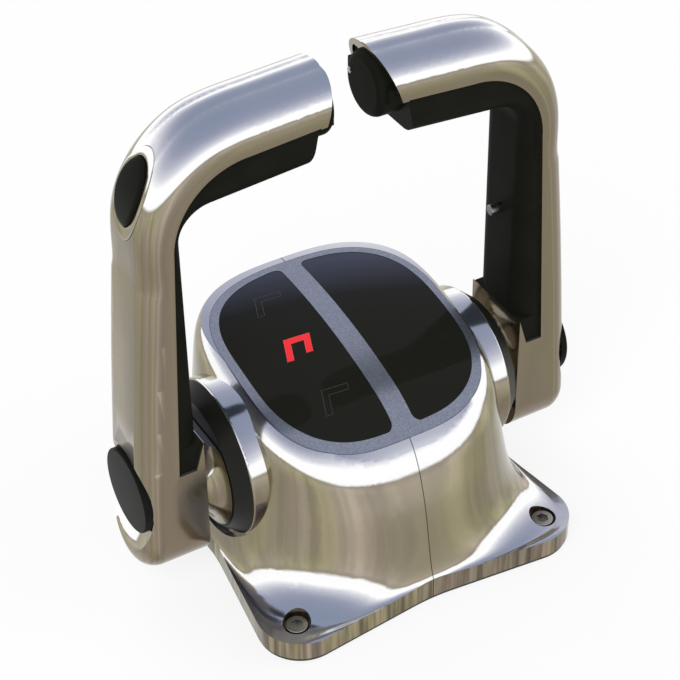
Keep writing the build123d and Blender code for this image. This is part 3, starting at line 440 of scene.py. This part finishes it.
for name, solid in nodes.items():
    solid.data.materials.clear()
    solid.data.materials.append(finish_of(name))
print(len(FINISHES), "kinds of solid have their finish")

# %% [markdown]
# ## Smooth skins
# The solids arrive as loose triangles, which a mirror finish would show as
# facets. Each visible form gets a skin: the same triangles joined at their
# corners and shaded smooth, with real edges kept sharp by their angle. The levers
# have thin triangles in their roundings, so their angle is wider.

# %% Smooth skins
SHARP_EDGE, SHARP_ON_LEVER = 28.0, 50.0
SAME_POINT, SLIVER = 2e-5, 3e-5


def smooth_skin(name):
    """A smooth copy of a solid, which rides on the solid's body and replaces it."""
    source = nodes[name]
    mesh = source.data.copy()
    joined = bmesh.new()
    joined.from_mesh(mesh)
    bmesh.ops.remove_doubles(joined, verts=joined.verts, dist=SAME_POINT)
    bmesh.ops.dissolve_degenerate(joined, edges=joined.edges, dist=SLIVER)
    joined.to_mesh(mesh)
    joined.free()
    if "custom_normal" in mesh.attributes:
        mesh.attributes.remove(mesh.attributes["custom_normal"])
    angle = SHARP_ON_LEVER if name.startswith("lever_shell") else SHARP_EDGE
    mesh.shade_smooth()
    mesh.set_sharp_from_angle(angle=math.radians(angle))
    skin = bpy.data.objects.new(name + "_skin", mesh)
    scene.collection.objects.link(skin)
    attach(skin, source["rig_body"])
    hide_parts(name)
    return skin


SKINNED = ("housing", "lever_shell", "grip_insert", "bezel", "window", "hub_ring", "hub_cap",
           "base_gasket", "mounting_screws")
skins = {name: smooth_skin(name) for name in nodes if name.startswith(SKINNED)}
print(len(skins), "smooth skins")

# %% [markdown]
# ## Dropping ovals onto the lever's bend
# The trim button and its rim lie on a surface that bends two ways. Modelling that
# bend again would never match the lever, so their points are worked out on a flat
# oval and dropped onto the solid rocker, along the button's own axis. Past the
# rocker's edge the last height is kept.

# %% Ovals on the bend
TRIM_LEAN = math.radians(28)
TRIM_OUT = Vector((-math.cos(TRIM_LEAN), 0, math.sin(TRIM_LEAN)))
TRIM_ALONG = Vector((math.sin(TRIM_LEAN), 0, math.cos(TRIM_LEAN)))
TRIM_ACROSS = Vector((0, 1, 0))
TRIM_CENTRE = Vector((-50.5, -1.0, 183.4)) * MM
FAR_OFF = 0.2
AROUND = 96
angles = [2 * math.pi * i / AROUND for i in range(AROUND)]

# Each oval is half its width, half its length and its shift forward, in millimetres.
# ROCKER keeps just inside the solid rocker's outline, so that a ray meets its face.
OPENING = (11.4, 19.9, 0.0)
RIM_EDGE = (9.6, 15.1, 1.2)
BUTTON = (9.1, 14.6, 1.2)
ROCKER = (10.7, 19.2, 0.0)


def surface_of(mesh):
    return BVHTree.FromPolygons([v.co for v in mesh.vertices], [p.vertices for p in mesh.polygons])


rocker_surface = surface_of(nodes["trim_rocker"].data)


def on_plane(across, along):
    return TRIM_CENTRE + TRIM_ACROSS * across * MM + TRIM_ALONG * along * MM


def on_rocker(across, along, sink):
    """The point over this place on the rocker's face, sunk by so many millimetres."""
    beyond = math.hypot(across / ROCKER[0], along / ROCKER[1])
    inside = min(1.0, 1.0 / max(1e-6, beyond))
    start = on_plane(across * inside, along * inside)
    hit = rocker_surface.ray_cast(start + TRIM_OUT * FAR_OFF, -TRIM_OUT)[0]
    return on_plane(across, along) + TRIM_OUT * ((hit - start).dot(TRIM_OUT) - sink * MM)


def on_oval(oval, angle, share=1.0):
    wide, long, shift = oval
    return share * wide * math.cos(angle) + shift, share * long * math.sin(angle)


def oval_ring(oval, sink, share=1.0):
    return [on_rocker(*on_oval(oval, angle, share), sink) for angle in angles]


def ring_between(first, second, share, sink):
    pairs = [(on_oval(first, angle), on_oval(second, angle)) for angle in angles]
    return [on_rocker(a[0] + (b[0] - a[0]) * share, a[1] + (b[1] - a[1]) * share, sink) for a, b in pairs]


# %% [markdown]
# ## Trim button and rim
# The opening in the port lever holds a narrow polished rim, and the gloss black
# button inside it is smaller than the opening. Both are closed skins over rings of
# points: the rim dips from the opening's edge to the button and turns down there,
# and the button is crowned with a rounded edge.

# %% Trim button and rim
RIM_STEPS = 6
RIM_DROP, RIM_DIP, RIM_TURNED_IN = 0.9, 0.5, 1.3
RIM_DEEP = RIM_DROP + RIM_DIP + RIM_TURNED_IN
MIDDLE = 1e-4
BUTTON_PROFILE = (
    (MIDDLE, 0.15), (0.2, 0.15), (0.4, 0.15), (0.6, 0.15), (0.8, 0.15), (0.9, 0.15), (0.96, 0.3),
    (1.0, 0.75), (1.0, 1.9), (0.6, 1.9), (MIDDLE, 1.9),
)


def ringed_piece(name, rings, material, body):
    """Rings of points joined one to the next into a smooth piece on a body."""
    made = bmesh.new()
    loops = [[made.verts.new(point) for point in ring] for ring in rings]
    for inner, outer in zip(loops, loops[1:]):
        for i in range(len(inner)):
            j = (i + 1) % len(inner)
            made.faces.new((inner[i], inner[j], outer[j], outer[i]))
    bmesh.ops.remove_doubles(made, verts=made.verts, dist=1e-6)
    bmesh.ops.recalc_face_normals(made, faces=made.faces)
    mesh = bpy.data.meshes.new(name)
    made.to_mesh(mesh)
    made.free()
    mesh.materials.append(material)
    mesh.shade_smooth()
    mesh.set_sharp_from_angle(angle=math.radians(40))
    piece = bpy.data.objects.new(name, mesh)
    scene.collection.objects.link(piece)
    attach(piece, body)
    return piece


steps = [i / RIM_STEPS for i in range(RIM_STEPS + 1)]
rim_rings = [ring_between(OPENING, RIM_EDGE, step, RIM_DROP + RIM_DIP * step ** 2) for step in steps]
rim_rings += [oval_ring(RIM_EDGE, RIM_DEEP), oval_ring(OPENING, RIM_DEEP), rim_rings[0]]
ringed_piece("trim_rim", rim_rings, lever_steel, "lever_port")

button_rings = [oval_ring(BUTTON, sink, share) for share, sink in BUTTON_PROFILE]
button = ringed_piece("trim_button", button_rings, gloss_black, nodes["trim_rocker"]["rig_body"])
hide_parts("trim_rocker")
print("button", 2 * BUTTON[1], "by", 2 * BUTTON[0], "mm")
print("opening", 2 * OPENING[1], "by", 2 * OPENING[0], "mm")

# %% [markdown]
# ## Small metal ends in each insert
# A bright screw end shows in the face of each insert's plug. On the starboard lever
# a short grey pin stands out of the arm's inner face, on the lever's middle line.

# %% Screw ends and pin
SCREW_Y, SCREW_Z, SCREW_R, SCREW_PROUD = 9.0, 224.0, 1.5, 0.4
PIN_Y, PIN_Z, PIN_R, PIN_PROUD = -1.0, 138.0, 2.4, 6.0
STUD_SUNK, STUD_EDGE, STUD_MIDDLE = 0.3, 0.3, 1e-3
CAST_FROM = 5.0
STUD_SIDES = 24
turns = [2 * math.pi * i / STUD_SIDES for i in range(STUD_SIDES)]


def insert_stud(kind, side, y, z, radius, proud):
    """A round end standing out of the insert, found by looking outboard at (y, z)."""
    outboard = 1 if side == "starboard" else -1
    surface = surface_of(skins["grip_insert_" + side].data)
    hit, normal = surface.ray_cast(Vector((-outboard * CAST_FROM, y, z)) * MM, Vector((outboard, 0, 0)))[:2]
    across = Vector((0, 1, 0)).cross(normal).normalized()
    ahead = normal.cross(across)
    profile = ((STUD_MIDDLE, -STUD_SUNK), (radius, -STUD_SUNK), (radius, proud - STUD_EDGE),
               (radius - STUD_EDGE, proud), (STUD_MIDDLE, proud))
    spokes = [across * math.cos(turn) + ahead * math.sin(turn) for turn in turns]
    rings = [[hit + (normal * rise + spoke * wide) * MM for spoke in spokes] for wide, rise in profile]
    ringed_piece(kind + "_" + side, rings, screw_steel, "lever_" + side)
    print(kind, side, "at", [round(c / MM, 1) for c in hit], "mm")


for side in ("port", "starboard"):
    insert_stud("insert_screw", side, SCREW_Y, SCREW_Z, SCREW_R, SCREW_PROUD)
insert_stud("insert_pin", "starboard", PIN_Y, PIN_Z, PIN_R, PIN_PROUD)

# %% [markdown]
# ## Marks on the display
# Behind the port window are three marks in a row: a lit one for neutral in the
# middle, and unlit outlines ahead and astern. A display draws an outline as small
# dots, so Geometry Nodes set one flat dot on every point of it.

# %% Dots on an outline
def dot_tree(name, dot_radius, material):
    tree = bpy.data.node_groups.new(name, "GeometryNodeTree")
    tree.interface.new_socket("Geometry", in_out="INPUT", socket_type="NodeSocketGeometry")
    size = tree.interface.new_socket("Dot Radius", in_out="INPUT", socket_type="NodeSocketFloat")
    size.default_value = dot_radius
    tree.interface.new_socket("Geometry", in_out="OUTPUT", socket_type="NodeSocketGeometry")
    given = add_node(tree, "NodeGroupInput")
    result = add_node(tree, "NodeGroupOutput")
    dot = add_node(tree, "GeometryNodeMeshCylinder", {"Vertices": 8, "Radius": 1.0, "Depth": 0.3})
    spread = add_node(tree, "GeometryNodeInstanceOnPoints")
    real = add_node(tree, "GeometryNodeRealizeInstances")
    painted = add_node(tree, "GeometryNodeSetMaterial")
    painted.inputs["Material"].default_value = material
    link = tree.links.new
    link(given.outputs["Geometry"], spread.inputs["Points"])
    link(given.outputs["Dot Radius"], spread.inputs["Scale"])
    link(dot.outputs["Mesh"], spread.inputs["Instance"])
    link(spread.outputs["Instances"], real.inputs["Geometry"])
    link(real.outputs["Geometry"], painted.inputs["Geometry"])
    link(painted.outputs["Geometry"], result.inputs["Geometry"])
    return tree


# %% [markdown]
# ## Placing marks on the domed window
# The window is domed, so a flat figure would sink into it. Each point is given
# flat and then dropped onto the window. The display's own axes are slanted.

# %% Places on the window
MARK_SLANT, MARK_DROP = 0.36, 0.12
DOT_LIFT, FIGURE_LIFT = 0.02, 0.05
window_surface = surface_of(skins["window_port"].data)


def on_window(x, y, lift=DOT_LIFT):
    """A point on top of the port window, x and y in millimetres."""
    hit = window_surface.ray_cast(Vector((x * MM, y * MM, FAR_OFF)), Vector((0, 0, -1)))[0]
    return hit + Vector((0, 0, lift * MM))


def slanted(corners, place):
    """Corners given along the bar and down the leg, on the display's slanted axes."""
    return [(place[0] + u - MARK_SLANT * v, place[1] - v - MARK_DROP * u) for u, v in corners]


def outline(corners, step):
    """Points at an even step along a closed outline."""
    points = []
    for a, b in zip(corners, corners[1:] + corners[:1]):
        count = max(1, round(math.dist(a, b) / step))
        points += [(a[0] + (b[0] - a[0]) * i / count, a[1] + (b[1] - a[1]) * i / count)
                   for i in range(count)]
    return points


def dotted_mark(name, points, dot_radius, material):
    mesh = bpy.data.meshes.new(name)
    mesh.from_pydata([on_window(x, y) for x, y in points], [], [])
    mark = bpy.data.objects.new(name, mesh)
    scene.collection.objects.link(mark)
    modifier = mark.modifiers.new("dots", "NODES")
    modifier.node_group = dot_tree(name + "_tree", dot_radius * MM, material)
    evaluated = mark.evaluated_get(bpy.context.evaluated_depsgraph_get())
    plain = bpy.data.meshes.new_from_object(evaluated)
    mark.modifiers.clear()
    mark.data = plain
    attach(mark, "housing")


def glowing(name, colour, strength):
    material, tree, shader = new_material(name)
    shader.inputs["Base Color"].default_value = (*colour, 1)
    shader.inputs["Roughness"].default_value = 0.4
    shader.inputs["Emission Color"].default_value = (*colour, 1)
    shader.inputs["Emission Strength"].default_value = strength
    return material


lit_red = glowing("lit_red", (0.55, 0.004, 0.010), 0.55)
lit_edge = glowing("lit_edge", (0.80, 0.16, 0.17), 0.7)
# The unlit marks are no lamp; their faint glow is painted light.
unlit_grey_painted_glow = glowing("unlit_grey_painted_glow", (0.10, 0.11, 0.10), 0.35)

# %% [markdown]
# ## The three marks
# The lit mark is a filled bracket with a paler dotted edge. The others are corners
# with no fill, their dots grey with a faint painted glow. One bar length and one
# stroke set all three.

# %% Place the marks
STROKE, BAR, LEG, SHORT_LEG = 2.9, 12.0, 11.5, 9.8
NEUTRAL_PLACE, AHEAD_PLACE, ASTERN_PLACE = (-26.6, 6.6), (-24.9, 36.4), (-25.5, -24.7)
EDGE_STEP, EDGE_DOT = 0.85, 0.16
UNLIT_STEP, UNLIT_DOT = 0.9, 0.15
FIGURE_CUTS = 5


def filled_mark(name, corners, material):
    """A flat figure laid on the window, cut in small triangles so that it follows the dome."""
    made = bmesh.new()
    made.faces.new([made.verts.new((x * MM, y * MM, 0)) for x, y in corners])
    bmesh.ops.triangulate(made, faces=made.faces)
    bmesh.ops.subdivide_edges(made, edges=made.edges, cuts=FIGURE_CUTS, use_grid_fill=True)
    for vert in made.verts:
        vert.co = on_window(vert.co.x / MM, vert.co.y / MM, FIGURE_LIFT)
    mesh = bpy.data.meshes.new(name)
    made.to_mesh(mesh)
    made.free()
    mesh.materials.append(material)
    mark = bpy.data.objects.new(name, mesh)
    scene.collection.objects.link(mark)
    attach(mark, "housing")


bracket = [(0, 0), (BAR, 0), (BAR, SHORT_LEG), (BAR - STROKE, SHORT_LEG), (BAR - STROKE, STROKE),
           (STROKE, STROKE), (STROKE, LEG), (0, LEG)]
corner = [(0, 0), (BAR, 0), (BAR, STROKE), (STROKE, STROKE), (STROKE, LEG), (0, LEG)]
neutral = slanted(bracket, NEUTRAL_PLACE)
filled_mark("mark_neutral", neutral, lit_red)
dotted_mark("mark_neutral_edge", outline(neutral, EDGE_STEP), EDGE_DOT, lit_edge)
for name, place in (("mark_ahead", AHEAD_PLACE), ("mark_astern", ASTERN_PLACE)):
    dots = outline(slanted(corner, place), UNLIT_STEP)
    dotted_mark(name, dots, UNLIT_DOT, unlit_grey_painted_glow)
    print(name, "has", len(dots), "dots")

# %% [markdown]
# ## Floor
# A floor that looks white to the camera and in reflections, yet still takes the
# shadow. The white comes from the floor itself, so the lamps can stay at a plain
# level. It lies just under the gasket, where the deck would be.

# %% Floor
DECK_BELOW, FLOOR_HALF = 0.5 * MM, 6.0
FLOOR_GLOW = 0.82
deck_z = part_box("base_gasket")[0][2] - DECK_BELOW


def white_floor():
    material = bpy.data.materials.new("white_floor")
    material.use_nodes = True
    tree = material.node_tree
    tree.nodes.clear()
    link = tree.links.new
    paths = add_node(tree, "ShaderNodeLightPath")
    seen = add_node(tree, "ShaderNodeMath", operation="MAXIMUM")
    seen_too = add_node(tree, "ShaderNodeMath", operation="MAXIMUM")
    share = add_node(tree, "ShaderNodeMath", {1: FLOOR_GLOW}, operation="MULTIPLY")
    matt = add_node(tree, "ShaderNodeBsdfDiffuse", {"Color": (0.93, 0.93, 0.93, 1)})
    glow = add_node(tree, "ShaderNodeEmission", {"Color": (1, 1, 1, 1), "Strength": 1.0})
    both = add_node(tree, "ShaderNodeMixShader")
    output = add_node(tree, "ShaderNodeOutputMaterial")
    link(paths.outputs["Is Camera Ray"], seen.inputs[0])
    link(paths.outputs["Is Glossy Ray"], seen.inputs[1])
    link(seen.outputs[0], seen_too.inputs[0])
    link(paths.outputs["Is Transmission Ray"], seen_too.inputs[1])
    link(seen_too.outputs[0], share.inputs[0])
    link(share.outputs[0], both.inputs["Fac"])
    link(matt.outputs[0], both.inputs[1])
    link(glow.outputs[0], both.inputs[2])
    link(both.outputs[0], output.inputs["Surface"])
    return material


def floor_mesh(half, z):
    made = bmesh.new()
    bmesh.ops.create_grid(made, x_segments=8, y_segments=8, size=half)
    bmesh.ops.translate(made, vec=(0, 0, z), verts=made.verts)
    mesh = bpy.data.meshes.new("floor")
    made.to_mesh(mesh)
    made.free()
    mesh.materials.append(white_floor())
    made_floor = bpy.data.objects.new("floor", mesh)
    scene.collection.objects.link(made_floor)
    return made_floor


floor = floor_mesh(FLOOR_HALF, deck_z)
print("deck at", round(deck_z / MM, 2), "mm")

# %% [markdown]
# ## Lamps
# Three large soft lamps give form without hard spots. A disk mirrored in polished
# steel would show as a round stain, so the lamps are left out of reflections.

# %% Lamps
LAMPS_AIM = Vector((0, 0, 0.1))


def soft_lamp(name, place, size, power):
    lamp = bpy.data.lights.new(name, "AREA")
    lamp.shape = "DISK"
    lamp.size = size
    lamp.energy = power
    holder = bpy.data.objects.new(name, lamp)
    scene.collection.objects.link(holder)
    holder.location = place
    holder.visible_glossy = False
    aim = LAMPS_AIM - Vector(place)
    holder.rotation_euler = aim.to_track_quat("-Z", "Y").to_euler()


soft_lamp("key", (-0.9, -0.8, 1.5), 1.0, 14)
soft_lamp("fill", (1.3, -0.6, 1.0), 1.0, 6)
soft_lamp("back", (0.1, 1.4, 1.3), 1.2, 8)
print(len(bpy.data.lights), "lamps")

# %% [markdown]
# ## World
# The world is white where the camera or a reflection looks at it, and dimmer where
# it lights the object, so that the white ground costs no extra light.

# %% World
WORLD_LIGHT, WORLD_SEEN = 0.55, 1.0

world = bpy.data.worlds.new("studio")
scene.world = world
world.use_nodes = True
world_tree = world.node_tree
world_tree.nodes.clear()
world_paths = add_node(world_tree, "ShaderNodeLightPath")
world_seen = add_node(world_tree, "ShaderNodeMath", operation="MAXIMUM")
world_level = add_node(world_tree, "ShaderNodeMapRange", {"To Min": WORLD_LIGHT, "To Max": WORLD_SEEN})
world_glow = add_node(world_tree, "ShaderNodeBackground", {"Color": (1, 1, 1, 1)})
world_out = add_node(world_tree, "ShaderNodeOutputWorld")
world_tree.links.new(world_paths.outputs["Is Camera Ray"], world_seen.inputs[0])
world_tree.links.new(world_paths.outputs["Is Glossy Ray"], world_seen.inputs[1])
world_tree.links.new(world_seen.outputs[0], world_level.inputs["Value"])
world_tree.links.new(world_level.outputs["Result"], world_glow.inputs["Strength"])
world_tree.links.new(world_glow.outputs[0], world_out.inputs["Surface"])

# %% [markdown]
# ## Camera
# The photograph looks down on the port quarter from about 0.85 m away. Its
# angles and distance were found by matching the screws, windows and hubs.

# %% Camera
AZIMUTH, ELEVATION, ROLL = -0.5139961, 0.6702039, -0.0181737
DISTANCE = 0.847996
TARGET = Vector((0.0, 0.0034765, 0.0924467))
LENS_PIXELS, FRAME_PIXELS, SENSOR = 1916.4845, 680.0, 36.0

back = Vector((math.sin(AZIMUTH) * math.cos(ELEVATION), -math.cos(AZIMUTH) * math.cos(ELEVATION),
               math.sin(ELEVATION)))
right = (-back).cross(Vector((0, 0, 1))).normalized()
up = right.cross(-back)
tilted_right = right * math.cos(ROLL) + up * math.sin(ROLL)
tilted_up = up * math.cos(ROLL) - right * math.sin(ROLL)
camera_data = bpy.data.cameras.new("camera")
camera_data.sensor_width = SENSOR
camera_data.lens = LENS_PIXELS * SENSOR / FRAME_PIXELS
camera_data.clip_start = 0.01
camera = bpy.data.objects.new("camera", camera_data)
scene.collection.objects.link(camera)
turn = Matrix((tilted_right, tilted_up, back)).transposed()
camera.matrix_world = Matrix.Translation(TARGET + back * DISTANCE) @ turn.to_4x4()
scene.camera = camera
print("lens", round(camera_data.lens, 2), "mm; eye", [round(c, 3) for c in camera.location])
